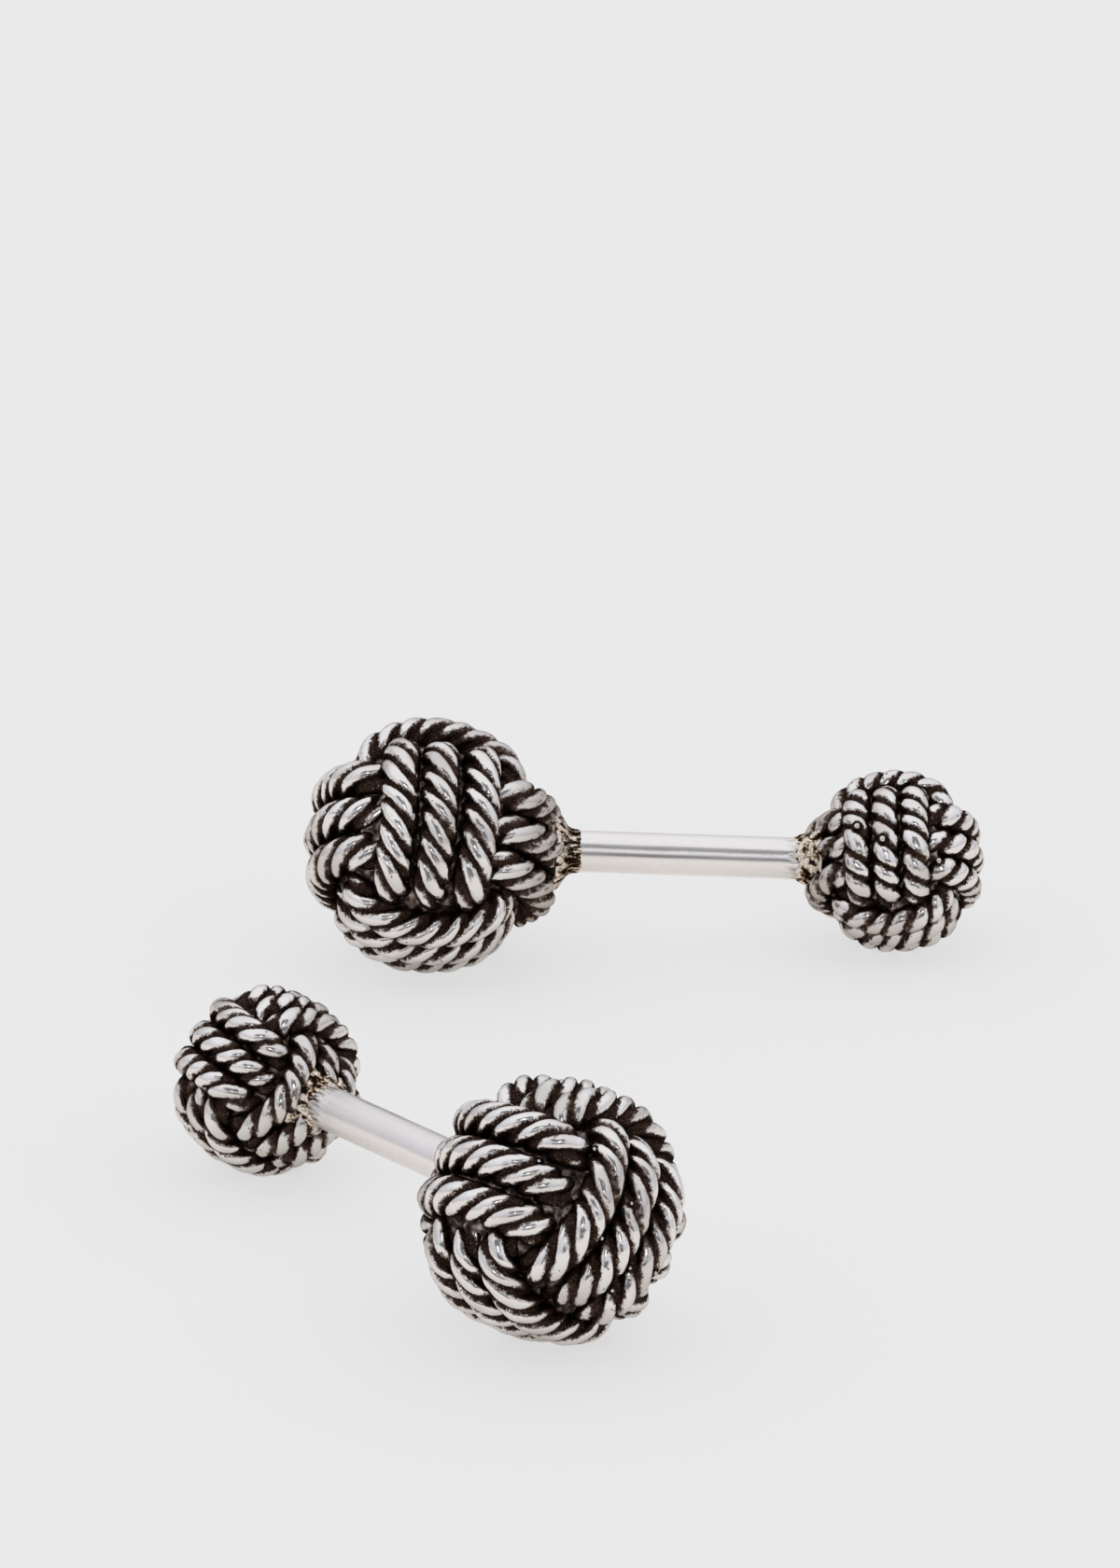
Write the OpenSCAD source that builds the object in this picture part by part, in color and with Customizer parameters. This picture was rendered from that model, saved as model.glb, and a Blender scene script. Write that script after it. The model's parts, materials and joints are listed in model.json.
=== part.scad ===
// Pair of rope-knot cufflinks in darkened silver, lying on a table.
// Each cufflink is a plain round post with a large ball knot on one end and a small one
// on the other. A ball knot is three wraps of rope at right angles to each other, each of
// three turns laid side by side. Every wrap is one unbroken length of rope that steps
// sideways from turn to turn under the wrap that covers it, and tucks both ends inside.
// In its own frame a cufflink has its post along X and its large knot at the origin.

/* [Knots] */
// Diameter over the ropes of the large knot
large_knot_d = 14; // [12:0.5:18]
// Diameter over the ropes of the small knot
small_knot_d = 10.1; // [9:0.1:11.5]
// Free gap between two ropes where they lie closest
rope_gap = 0.08; // [0.05:0.01:0.2]

/* [Post] */
// Diameter of the post
post_d = 2.3; // [1.8:0.1:2.8]
// Length of the post between the two knots
post_len = 14; // [10:0.2:18]

/* [Solder] */
// Length of the solder collar along the post at the large knot
large_solder_len = 1.2; // [0.6:0.1:2]
// Length of the solder collar along the post at the small knot
small_solder_len = 0.7; // [0.4:0.1:1.5]
// Wall of a solder collar where it meets the ropes
solder_foot_wall = 0.3; // [0.2:0.05:0.5]
// Wall of a solder collar at its thin end
solder_lip_wall = 0.1; // [0.05:0.05:0.2]
// How deep the solder runs down beside the rope that the post stands on
solder_drop = 0.4; // [0.2:0.05:0.6]

/* [Pair] */
// Distance from the rear large knot to the front large knot, along X
pair_x = 6.8; // [-10:0.2:20]
// Distance from the rear large knot to the front large knot, along Y
pair_y = 49; // [44:0.5:80]
// Direction in which the rear post points, from its large knot
rear_heading = 5; // [-10:1:20]
// Direction in which the front post points, from its large knot
front_heading = 125.5; // [100:0.5:150]
// Turn of the rear cufflink about its post
rear_roll = -41; // [-90:1:90]
// Turn of the front cufflink about its post
front_roll = -48; // [-90:1:90]
// Lean of the rear large knot, across the rope that its post stands on
rear_large_lean = 5; // [-5:1:5]
// Turn of the rear small knot, along the rope that its post stands on
rear_small_turn = -16; // [-25:1:25]
// Turn of the front large knot, along the rope that its post stands on
front_large_turn = 7; // [-25:1:25]
// Turn of the front small knot, along the rope that its post stands on
front_small_turn = -8; // [-25:1:25]

/* [Hidden] */

silver = [0.78, 0.77, 0.75];
polished_silver = [0.87, 0.87, 0.86];
dark_silver = [0.2, 0.18, 0.16];
solder_gold = [0.47, 0.39, 0.29];

// Faces round a post, a collar and a core
round_fn = 96;
// Clearance of the post in its collars and of the solder on the ropes
seat_gap = 0.02;
// One overrun for every cut
over = 0.2;

// Turns in a wrap, rings along one turn, and sides of a rope
turns = 3;
rings = 24;
sides = 8;
// Smallest step along a wrap that counts as another stretch of rope, in turns
apart = 0.3;

// Path of a wrap, as shares of the reach: the distance of its middle turn's centre line
// from the centre of the knot where it lies on top.
// Middle turn where it passes under
mid_under_share = 0.706;
// Outer turns on top, and where they pass under
side_over_share = 0.959;
side_under_share = 0.613;
// Spacing of the turns on top, and where they pass under
over_pitch_share = 0.375;
under_pitch_share = 0.282;
// How far a tucked end turns inwards and sideways
tuck_in_share = 0.205;
tuck_out_share = 0.048;
// Greatest distance of the path from the centre of the knot
outer_share = 1.0297;
// How sharply the middle and the outer turns climb, and how their climb leans to the top
mid_climb = 2.577;
mid_lean = 0.175;
side_climb = 3.444;
side_lean = 0.196;
// Half the length of a step to the next turn, and the length of a tuck, in turns
step_turn = 0.142;
tuck_turn = 0.123;
// How much two turns spread while both step sideways
spread_share = 0.181;
// Least distance between two centre lines
clear_share = 0.2935;

function tanh(a) = (exp(2 * a) - 1) / (exp(2 * a) + 1);
function mix(a, b, t) = a + (b - a) * t;
function ramp(t) = let (c = min(max(t, 0), 1)) c * c * c * (c * (6 * c - 15) + 10);
function unit(v) = v / norm(v);

// Rise from 0 where a turn passes under to 1 where it lies on top
function swell(a, climb, lean) =
    let (low = tanh(climb * (lean - 1)), high = tanh(climb * (lean + 1)))
    (tanh(climb * (cos(2 * a) + lean)) - low) / (high - low);

// Place across the wrap at u turns from its start: -1, 0 and 1 on its three turns
function lane(u) = ramp((u - 1 + step_turn) / (2 * step_turn))
    + ramp((u - 2 + step_turn) / (2 * step_turn)) - 1;

// How far the rope is tucked in: 1 at both ends of the wrap and 0 between
function tuck(u) = ramp((tuck_turn - u) / tuck_turn)
    + ramp((u - turns + tuck_turn) / tuck_turn);

// Centre line of a wrap round X, for a reach of 1
function wrap_point(u) =
    let (
        a = 360 * u - 90,
        v = lane(u),
        mid = mix(mid_under_share, 1, swell(a, mid_climb, mid_lean)),
        s = swell(a, side_climb, side_lean),
        side = mix(side_under_share, side_over_share, s),
        r = mix(mid, side, v * v) - tuck_in_share * tuck(u),
        x = v * mix(under_pitch_share, over_pitch_share, s)
            * (1 + spread_share * pow(sin(180 * v), 2)) + sign(v) * tuck_out_share * tuck(u)
    )
    [x, r * cos(a), r * sin(a)];

// The centre line and its frames: each place has its point, its outward and its side direction
wrap_steps = turns * rings;
wrap_path = [for (i = [0:wrap_steps]) wrap_point(i / rings)];
wrap_frames = [for (i = [0:wrap_steps])
    let (
        t = unit(wrap_path[min(i + 1, wrap_steps)] - wrap_path[max(i - 1, 0)]),
        p = wrap_path[i],
        n = unit(p - (p * t) * t)
    )
    [p, n, cross(t, n)]];

// Corners of a wrap's rope, ring by ring
function wrap_corners(reach, rope_d) = [for (f = wrap_frames) for (k = [0:sides - 1])
    let (a = 360 * k / sides)
    f[0] * reach + (f[1] * cos(a) + f[2] * sin(a)) * rope_d / 2];

// The next wrap is the one before turned 120 degrees about a corner of the knot
function next_wrap(p) = [p[2], p[0], p[1]];

// Least distance between the centre lines of one wrap and the next, and between two
// stretches of one wrap that are not neighbours along it
second_path = [for (p = wrap_path) next_wrap(p)];
cross_share = min([for (p = wrap_path) for (q = second_path) norm(p - q)]);
self_share = min([for (i = [0:wrap_steps]) for (j = [i + ceil(apart * rings):1:wrap_steps])
    norm(wrap_path[i] - wrap_path[j])]);
// Least distance of the centre line from the centre of the knot
inner_share = min([for (p = wrap_path) norm(p)]);

// Rope of a knot: the thickest that leaves the free gap at the tightest crossing
function rope_size(knot_d) = (clear_share * knot_d / (2 * outer_share) - rope_gap)
    / (1 + clear_share / (2 * outer_share));
function reach_size(knot_d, rope_d) = (knot_d - rope_d) / (2 * outer_share);

large_rope_d = rope_size(large_knot_d);
small_rope_d = rope_size(small_knot_d);
large_reach = reach_size(large_knot_d, large_rope_d);
small_reach = reach_size(small_knot_d, small_rope_d);
large_crown = large_reach + large_rope_d / 2;
small_crown = small_reach + small_rope_d / 2;
large_core_d = 2 * (inner_share * large_reach - rope_gap) - large_rope_d;
small_core_d = 2 * (inner_share * small_reach - rope_gap) - small_rope_d;
post_r = post_d / 2;
centre_distance = large_crown + post_len + small_crown;

echo(large_rope_d = large_rope_d, small_rope_d = small_rope_d);
echo(least_gap_within_a_wrap = [self_share * large_reach - large_rope_d,
    self_share * small_reach - small_rope_d]);
echo(least_gap_between_wraps = [cross_share * large_reach - large_rope_d,
    cross_share * small_reach - small_rope_d]);

// How a cufflink lies: rolled about its post, tilted until both knots touch the table,
// turned to its heading and moved to its place
function turn_x(p, a) = [p[0], p[1] * cos(a) - p[2] * sin(a), p[1] * sin(a) + p[2] * cos(a)];
function turn_y(p, a) = [p[0] * cos(a) + p[2] * sin(a), p[1], p[2] * cos(a) - p[0] * sin(a)];
function turn_z(p, a) = [p[0] * cos(a) - p[1] * sin(a), p[0] * sin(a) + p[1] * cos(a), p[2]];
function knot_corners(reach, rope_d) =
    let (a = wrap_corners(reach, rope_d), b = [for (p = a) next_wrap(p)])
    concat(a, b, [for (p = b) next_wrap(p)]);
function lowest(points, roll, tilt) = min([for (p = points) turn_y(turn_x(p, roll), tilt)[2]]);

large_corners = knot_corners(large_reach, large_rope_d);
small_corners = knot_corners(small_reach, small_rope_d);
rear_large_corners = [for (p = large_corners) turn_y(p, rear_large_lean)];
front_large_corners = [for (p = large_corners) turn_z(p, front_large_turn)];
rear_small_corners = [for (p = small_corners)
    turn_z(p, rear_small_turn) + [centre_distance, 0, 0]];
front_small_corners = [for (p = small_corners)
    turn_z(p, front_small_turn) + [centre_distance, 0, 0]];
first_tilt = asin((large_knot_d - small_knot_d) / 2 / centre_distance);
function lie_tilt(large, small, roll, tilt = first_tilt, tries = 3) =
    tries == 0 ? tilt
    : lie_tilt(large, small, roll, tilt - asin((lowest(large, roll, tilt)
        - lowest(small, roll, tilt)) / centre_distance), tries - 1);

rear_corners = concat(rear_large_corners, rear_small_corners);
front_corners = concat(front_large_corners, front_small_corners);
rear_tilt = lie_tilt(rear_large_corners, rear_small_corners, rear_roll);
front_tilt = lie_tilt(front_large_corners, front_small_corners, front_roll);
rear_lift = -lowest(rear_corners, rear_roll, rear_tilt);
front_lift = -lowest(front_corners, front_roll, front_tilt);

// The middle of the pair's outline on the table is the origin
rear_seen = [for (p = rear_corners)
    turn_z(turn_y(turn_x(p, rear_roll), rear_tilt), rear_heading)];
front_seen = [for (p = front_corners)
    turn_z(turn_y(turn_x(p, front_roll), front_tilt), front_heading) + [pair_x, -pair_y, 0]];
function middle(list) = (min(list) + max(list)) / 2;
pair_middle = [
    middle([for (p = concat(rear_seen, front_seen)) p[0]]),
    middle([for (p = concat(rear_seen, front_seen)) p[1]])
];
rear_place = [-pair_middle[0], -pair_middle[1], rear_lift];
front_place = [pair_x - pair_middle[0], -pair_y - pair_middle[1], front_lift];

echo(tilts = [rear_tilt, front_tilt], places = [rear_place, front_place]);

module at_rear() {
    translate(rear_place) rotate([0, 0, rear_heading]) rotate([0, rear_tilt, 0])
        rotate([rear_roll, 0, 0]) children();
}

module at_front() {
    translate(front_place) rotate([0, 0, front_heading]) rotate([0, front_tilt, 0])
        rotate([front_roll, 0, 0]) children();
}

module at_small_knot(turn = 0) {
    translate([centre_distance, 0, 0]) rotate([0, 0, turn]) children();
}

module lean_large_knot() { rotate([0, rear_large_lean, 0]) children(); }

module turn_large_knot() { rotate([0, 0, front_large_turn]) children(); }

// One wrap of a knot: 0, 1 and 2 are the first, the second and the third
module wrap(reach, rope_d, which) {
    corners = wrap_corners(reach, rope_d);
    turned = which == 0 ? corners
        : which == 1 ? [for (p = corners) next_wrap(p)]
        : [for (p = corners) next_wrap(next_wrap(p))];
    walls = [for (i = [0:wrap_steps - 1]) for (k = [0:sides - 1])
        let (a = i * sides + k, b = i * sides + (k + 1) % sides)
        each [[a, a + sides, b + sides], [a, b + sides, b]]];
    start_cap = [for (k = [1:sides - 2]) [0, k, k + 1]];
    last = wrap_steps * sides;
    end_cap = [for (k = [1:sides - 2]) [last, last + k + 1, last + k]];
    color(silver) polyhedron(points = turned, faces = concat(walls, start_cap, end_cap));
}

// The bead inside a knot, which the tucked ends of the ropes hold
module core(core_d) {
    color(dark_silver) sphere(d = core_d, $fn = round_fn);
}

// The post stands on the middle rope of both knots
module post() {
    color(polished_silver) translate([large_crown + seat_gap, 0, 0]) rotate([0, 90, 0])
        cylinder(d = post_d, h = post_len - 2 * seat_gap, $fn = round_fn);
}

// A solder collar: a ring round the end of the post that narrows along it, with a foot
// that runs down between the ropes. The post stands along Z, and the ropes lie along Y
// and lean about Y.
module solder(reach, rope_d, len, lean = 0) {
    crown = reach + rope_d / 2;
    side_over = side_over_share * reach;
    pitch = over_pitch_share * reach;
    color(solder_gold) difference() {
        translate([0, 0, crown - solder_drop]) rotate_extrude($fn = round_fn) polygon([
            [0, 0],
            [post_r + solder_foot_wall, 0],
            [post_r + solder_foot_wall, solder_drop],
            [post_r + mix(solder_lip_wall, solder_foot_wall, 0.4), solder_drop + len / 2],
            [post_r + solder_lip_wall, solder_drop + len],
            [0, solder_drop + len]
        ]);
        translate([0, 0, crown]) cylinder(r = post_r + seat_gap, h = len + over, $fn = round_fn);
        rotate([0, lean, 0]) for (side = [-1:1])
            translate([side * pitch, 0, side == 0 ? reach : side_over]) rotate([90, 0, 0])
                cylinder(d = rope_d + 2 * seat_gap, h = 2 * post_d + 2 * over, center = true,
                    $fn = round_fn);
    }
}

module large_solder(lean = 0) {
    rotate([0, 90, 0]) solder(large_reach, large_rope_d, large_solder_len, lean);
}

module small_solder() {
    at_small_knot() rotate([0, -90, 0]) solder(small_reach, small_rope_d, small_solder_len);
}

module rear_large_core() { at_rear() core(large_core_d); }
module rear_large_first_wrap() {
    at_rear() lean_large_knot() wrap(large_reach, large_rope_d, 0);
}
module rear_large_second_wrap() {
    at_rear() lean_large_knot() wrap(large_reach, large_rope_d, 1);
}
module rear_large_third_wrap() {
    at_rear() lean_large_knot() wrap(large_reach, large_rope_d, 2);
}
module rear_large_solder() { at_rear() large_solder(rear_large_lean); }
module rear_post() { at_rear() post(); }
module rear_small_solder() { at_rear() small_solder(); }
module rear_small_core() { at_rear() at_small_knot() core(small_core_d); }
module rear_small_first_wrap() {
    at_rear() at_small_knot(rear_small_turn) wrap(small_reach, small_rope_d, 0);
}
module rear_small_second_wrap() {
    at_rear() at_small_knot(rear_small_turn) wrap(small_reach, small_rope_d, 1);
}
module rear_small_third_wrap() {
    at_rear() at_small_knot(rear_small_turn) wrap(small_reach, small_rope_d, 2);
}

module front_large_core() { at_front() core(large_core_d); }
module front_large_first_wrap() {
    at_front() turn_large_knot() wrap(large_reach, large_rope_d, 0);
}
module front_large_second_wrap() {
    at_front() turn_large_knot() wrap(large_reach, large_rope_d, 1);
}
module front_large_third_wrap() {
    at_front() turn_large_knot() wrap(large_reach, large_rope_d, 2);
}
module front_large_solder() { at_front() large_solder(); }
module front_post() { at_front() post(); }
module front_small_solder() { at_front() small_solder(); }
module front_small_core() { at_front() at_small_knot() core(small_core_d); }
module front_small_first_wrap() {
    at_front() at_small_knot(front_small_turn) wrap(small_reach, small_rope_d, 0);
}
module front_small_second_wrap() {
    at_front() at_small_knot(front_small_turn) wrap(small_reach, small_rope_d, 1);
}
module front_small_third_wrap() {
    at_front() at_small_knot(front_small_turn) wrap(small_reach, small_rope_d, 2);
}

rear_large_core();
rear_large_first_wrap();
rear_large_second_wrap();
rear_large_third_wrap();
rear_large_solder();
rear_post();
rear_small_solder();
rear_small_core();
rear_small_first_wrap();
rear_small_second_wrap();
rear_small_third_wrap();
front_large_core();
front_large_first_wrap();
front_large_second_wrap();
front_large_third_wrap();
front_large_solder();
front_post();
front_small_solder();
front_small_core();
front_small_first_wrap();
front_small_second_wrap();
front_small_third_wrap();
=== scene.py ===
import json
import math

import bmesh
import bpy
import numpy as np
from mathutils import Matrix, Vector, noise

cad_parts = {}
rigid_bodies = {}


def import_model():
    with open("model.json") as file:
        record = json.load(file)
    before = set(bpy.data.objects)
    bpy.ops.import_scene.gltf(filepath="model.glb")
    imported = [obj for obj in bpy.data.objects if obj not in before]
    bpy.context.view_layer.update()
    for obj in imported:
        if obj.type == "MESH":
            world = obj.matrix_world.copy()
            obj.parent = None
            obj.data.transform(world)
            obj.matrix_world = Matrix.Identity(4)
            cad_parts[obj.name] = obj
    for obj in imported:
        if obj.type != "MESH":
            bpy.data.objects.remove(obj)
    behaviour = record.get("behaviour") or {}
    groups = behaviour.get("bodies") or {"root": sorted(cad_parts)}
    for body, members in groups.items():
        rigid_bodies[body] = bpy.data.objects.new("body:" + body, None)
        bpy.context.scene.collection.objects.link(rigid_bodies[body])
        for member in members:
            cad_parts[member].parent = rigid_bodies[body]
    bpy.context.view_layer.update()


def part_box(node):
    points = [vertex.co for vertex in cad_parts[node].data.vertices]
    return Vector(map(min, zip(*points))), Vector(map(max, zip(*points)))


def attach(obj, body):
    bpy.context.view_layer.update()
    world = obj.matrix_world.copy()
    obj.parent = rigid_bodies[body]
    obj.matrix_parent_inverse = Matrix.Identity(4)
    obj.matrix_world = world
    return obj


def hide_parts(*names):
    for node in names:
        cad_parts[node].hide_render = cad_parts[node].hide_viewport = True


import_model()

# The noise module takes its seed from the clock unless it is given one
noise.seed_set(1)

# Sizes in millimetres, as in the CAD source, with the full thickness of the laid rope
MM = 0.001
KNOT_DIAMETER = {"large": 14.0, "small": 10.1}
ROPE_DIAMETER = {"large": 2.1, "small": 1.58}
# From the centre of a knot to the end of the post
CROWN = {"large": 6.822, "small": 4.942}
POST_DIAMETER = 2.3
POST_LENGTH = 14.0

# Path of a wrap in shares of its reach, with the names and values of the CAD source
TURNS = 3
MID_UNDER_SHARE = 0.706
SIDE_OVER_SHARE, SIDE_UNDER_SHARE = 0.959, 0.613
OVER_PITCH_SHARE, UNDER_PITCH_SHARE = 0.375, 0.282
TUCK_IN_SHARE, TUCK_OUT_SHARE = 0.205, 0.048
OUTER_SHARE = 1.0297
MID_CLIMB, MID_LEAN = 2.577, 0.175
SIDE_CLIMB, SIDE_LEAN = 3.444, 0.196
STEP_TURN, TUCK_TURN = 0.142, 0.123
SPREAD_SHARE = 0.181
# Smallest step along a wrap that counts as another stretch of rope, in turns
APART = 0.3
# Points in a turn of a wrap, and sides of a rope
PER_TURN = 280
ROPE_SIDES = 54
WRAPS = ("first", "second", "third")

# What differs from knot to knot, in millimetres and degrees.
# strands, lay: strands in the rope, and the length in which they turn once round it
# dark_line: width of the tarnish beside a neighbouring rope, in rope radii
# leaf: width of the polished leaf on a strand, and how pointed it is
# foot_dull: how dull the ropes are round the foot of the post
# rise: how high the ropes rise there, and how far round the post
# turn, lean: turn of the knot about Z and Y, on the post's end
# seed: start of the rope's uneven twist
KNOTS = {
    "rear_large": {"strands": 4, "lay": 4.85, "dark_line": 0.2, "leaf": (0.84, 0.55),
                   "foot_dull": 1.0, "rise": (0.85, 3.2), "turn": 0.0, "lean": 5.0,
                   "seed": 0.0},
    "rear_small": {"strands": 2, "lay": 2.05, "dark_line": 0.42, "leaf": (0.8, 0.14),
                   "foot_dull": 1.0, "rise": (0.6, 1.7), "turn": -16.0, "lean": 0.0,
                   "seed": 1.7},
    "front_large": {"strands": 4, "lay": 4.85, "dark_line": 0.2, "leaf": (0.84, 0.55),
                    "foot_dull": 1.0, "rise": (0.3, 2.2), "turn": 7.0, "lean": 0.0,
                    "seed": 3.3},
    "front_small": {"strands": 3, "lay": 3.2, "dark_line": 0.85, "leaf": (0.85, 0.05),
                    "foot_dull": 0.5, "rise": (0.6, 1.7), "turn": -8.0, "lean": 0.0,
                    "seed": 5.0}}
# Roll of each cufflink about its post
ROLL = {"rear": -41.0, "front": -48.0}

# Make of the rope: grooves, wander of the hand-laid path and dents in rope radii, the
# strands' width as a share of their pitch, and how far the twist runs ahead or behind
GROOVE_DEPTH = {"large": 0.36, "small": 0.33}
SWAY = 0.14
HAMMERING = 0.11
STRAND_WIDTH = 0.88
UNEVENNESS = 0.8
# Where the lumpy metal inside a knot starts, in rope diameters below its surface
HEART_DEPTH = 0.68

# Casting beads: their radius and their places in the knot's own frame
BEADS = {"rear_small": (0.17, ((-1.4, -4.68, 0.64), (0.06, -4.9, -0.01),
                               (2.98, -3.2, -1.33))),
         "front_large": (0.1, ((-3.53, -0.87, 5.06), (-4.72, -2.59, 3.17),
                               (-6.18, 1.37, 1.46), (-6.2, -1.01, 0.85),
                               (-5.8, 1.54, -1.26), (-6.11, 1.0, -2.73),
                               (-5.28, 3.03, -1.34)))}

# Solder: its height above the post at distances from the crown, along the post
CRUST = {"large": ((-0.5, 0.8), (0.0, 1.15), (0.3, 0.9), (0.5, 0.62), (0.66, 0.4), (0.8, 0.2),
                   (0.98, 0.08), (1.18, 0.05), (1.38, 0.03), (1.55, -0.05)),
         "small": ((-0.6, 0.75), (-0.4, 0.58), (-0.2, 0.4), (0.0, 0.26), (0.25, 0.15),
                   (0.42, 0.08), (0.55, 0.03), (0.9, -0.05))}
# How far it is scorched there; below 0 it is paler than elsewhere
SCORCH = {"rear_large": ((0.45, 0.0), (0.85, 1.0)), "rear_small": ((0.0, 0.1),),
          "front_large": ((0.45, 0.0), (0.85, 1.0)), "front_small": ((0.19, 0.6), (0.54, -0.4))}
# Length of the scratched stretch at the small end of each post
SCRATCHED = {"rear": 1.3, "front": 1.9}

# Camera: from the front, a little above the table, with a long lens
CAMERA_TARGET = (7.18, 11.4, 5.67)
CAMERA_DISTANCE = 617.0
CAMERA_ELEVATION = 21.8
CAMERA_LENS = 357.0
# The lamp stands this many degrees above the lens
LAMP_ABOVE_LENS = 13.0


def colour(code):
    """Linear colour of an sRGB hex value."""
    parts = [int(code[i:i + 2], 16) / 255 for i in (1, 3, 5)]
    return [c / 12.92 if c <= 0.04045 else ((c + 0.055) / 1.055) ** 2.4 for c in parts] + [1.0]


def add(tree, kind, inputs=None, stops=(), **settings):
    """Adds a node with its settings, and fills or links its inputs by name or number. A node
    as an input stands for its first output. Stops are the (place, colour) pairs of a colour
    ramp."""
    node = tree.nodes.new(kind)
    for name, value in settings.items():
        setattr(node, name, value)
    for i, (place, shade) in enumerate(stops):
        band = node.color_ramp.elements
        stop = band[i] if i < len(band) else band.new(1.0)
        stop.position, stop.color = place, shade
    for key, value in (inputs or {}).items():
        if isinstance(value, bpy.types.Node):
            value = value.outputs[0]
        if isinstance(value, bpy.types.NodeSocket):
            tree.links.new(value, node.inputs[key])
        else:
            node.inputs[key].default_value = value
    return node


def new_material(name):
    """An empty node material and its node tree."""
    material = bpy.data.materials.new(name)
    material.use_nodes = True
    material.node_tree.nodes.clear()
    return material, material.node_tree


# Materials. Noise scales are in cells a metre: 1000 is a grain of 1 mm

def laid_silver():
    """Cast sterling silver, darkened in a sulphur bath and polished by hand: each strand has a
    bright leaf on top, and the tarnish stays in the grooves, in the pits and between ropes."""
    material, t = new_material("oxidised_sterling_silver")
    place = add(t, "ShaderNodeTexCoord").outputs["Object"]
    polish = add(t, "ShaderNodeAttribute", attribute_name="polish").outputs["Fac"]
    hidden = add(t, "ShaderNodeAttribute", attribute_name="hidden").outputs["Fac"]
    dull = add(t, "ShaderNodeAttribute", attribute_name="dull").outputs["Fac"]
    # Ragged edge of the polish: grains of 0.3 mm and of 0.07 mm
    coarse = add(t, "ShaderNodeTexNoise", {"Vector": place, "Scale": 3300, "Detail": 3})
    fine = add(t, "ShaderNodeTexNoise", {"Vector": place, "Scale": 14000, "Detail": 2})
    rag = add(t, "ShaderNodeMath", {0: coarse, 1: 0.5}, operation="SUBTRACT")
    grit = add(t, "ShaderNodeMath", {0: fine, 1: 0.5}, operation="SUBTRACT")
    shine = add(t, "ShaderNodeMath", {0: rag, 1: 0.7, 2: polish}, operation="MULTIPLY_ADD")
    shine = add(t, "ShaderNodeMath", {0: grit, 1: 0.6, 2: shine}, operation="MULTIPLY_ADD")
    shine = add(t, "ShaderNodeMath", {0: shine, 1: hidden}, operation="SUBTRACT")
    worn = add(t, "ShaderNodeMapRange", {"Value": shine, "From Min": -0.08, "From Max": 0.19})
    # Casting pits, 0.06 mm wide and about 1 mm apart, still black
    cells = add(t, "ShaderNodeTexVoronoi", {"Vector": place, "Scale": 1500, "Randomness": 1})
    pit = add(t, "ShaderNodeMapRange", {"Value": cells, "From Min": 0.05, "From Max": 0.1})
    bright = add(t, "ShaderNodeMath", {0: worn, 1: pit}, operation="MULTIPLY")
    # The tarnish is thinner in spots: brown in place of black
    spots = add(t, "ShaderNodeMapRange", {
        "Value": fine, "From Min": 0.52, "From Max": 0.75, "To Min": 0.0, "To Max": 0.4})
    bright = add(t, "ShaderNodeMath", {0: bright, 1: spots}, operation="MAXIMUM")
    # Round the foot of the post, and in areas about 3 mm wide, all is half polished: the
    # leaves are duller, and the tarnish beside them is rubbed thin in patches
    area = add(t, "ShaderNodeTexNoise", {"Vector": place, "Scale": 330, "Detail": 1})
    area = add(t, "ShaderNodeMapRange", {
        "Value": area, "From Min": 0.47, "From Max": 0.66, "To Min": 0.0, "To Max": 0.7})
    dull = add(t, "ShaderNodeMath", {0: dull, 1: area}, operation="MAXIMUM")
    patch = add(t, "ShaderNodeMapRange", {
        "Value": coarse, "From Min": 0.38, "From Max": 0.65, "To Min": 0.08, "To Max": 0.65})
    reach = add(t, "ShaderNodeMapRange", {"Value": shine, "From Min": -0.5, "From Max": 0.0})
    patch = add(t, "ShaderNodeMath", {0: patch, 1: reach}, operation="MULTIPLY")
    patch = add(t, "ShaderNodeMath", {0: patch, 1: dull}, operation="MULTIPLY")
    keep = add(t, "ShaderNodeMath", {0: dull, 1: -0.28, 2: 1.0}, operation="MULTIPLY_ADD")
    bright = add(t, "ShaderNodeMath", {0: bright, 1: keep}, operation="MULTIPLY")
    bright = add(t, "ShaderNodeMath", {0: bright, 1: patch}, operation="MAXIMUM")
    # From sulphide black over brown to silver
    tint = add(t, "ShaderNodeValToRGB", {"Fac": bright}, [
        (0.0, colour("#2A1D17")), (0.25, colour("#57473F")), (0.45, colour("#8C807A")),
        (0.65, colour("#BFB8B2")), (1.0, colour("#EFEDEB"))])
    metal = add(t, "ShaderNodeMapRange", {
        "Value": bright, "From Min": 0.0, "From Max": 0.6, "To Min": 0.85, "To Max": 1.0})
    rough = add(t, "ShaderNodeMapRange", {
        "Value": bright, "From Min": 0.0, "From Max": 0.8, "To Min": 0.45, "To Max": 0.17})
    # Skin of the casting: waves of 0.6 mm, with a little of the finer grains
    wave = add(t, "ShaderNodeTexNoise", {"Vector": place, "Scale": 1800, "Detail": 1})
    relief = add(t, "ShaderNodeMath", {0: coarse, 1: 0.15, 2: wave}, operation="MULTIPLY_ADD")
    relief = add(t, "ShaderNodeMath", {0: fine, 1: 0.03, 2: relief}, operation="MULTIPLY_ADD")
    bump = add(t, "ShaderNodeBump", {"Strength": 1.0, "Distance": 0.000055, "Height": relief})
    skin = add(t, "ShaderNodeBsdfPrincipled", {
        "Base Color": tint, "Specular Tint": tint, "Metallic": metal, "Roughness": rough,
        "Normal": bump})
    add(t, "ShaderNodeOutputMaterial", {"Surface": skin})
    return material


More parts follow.
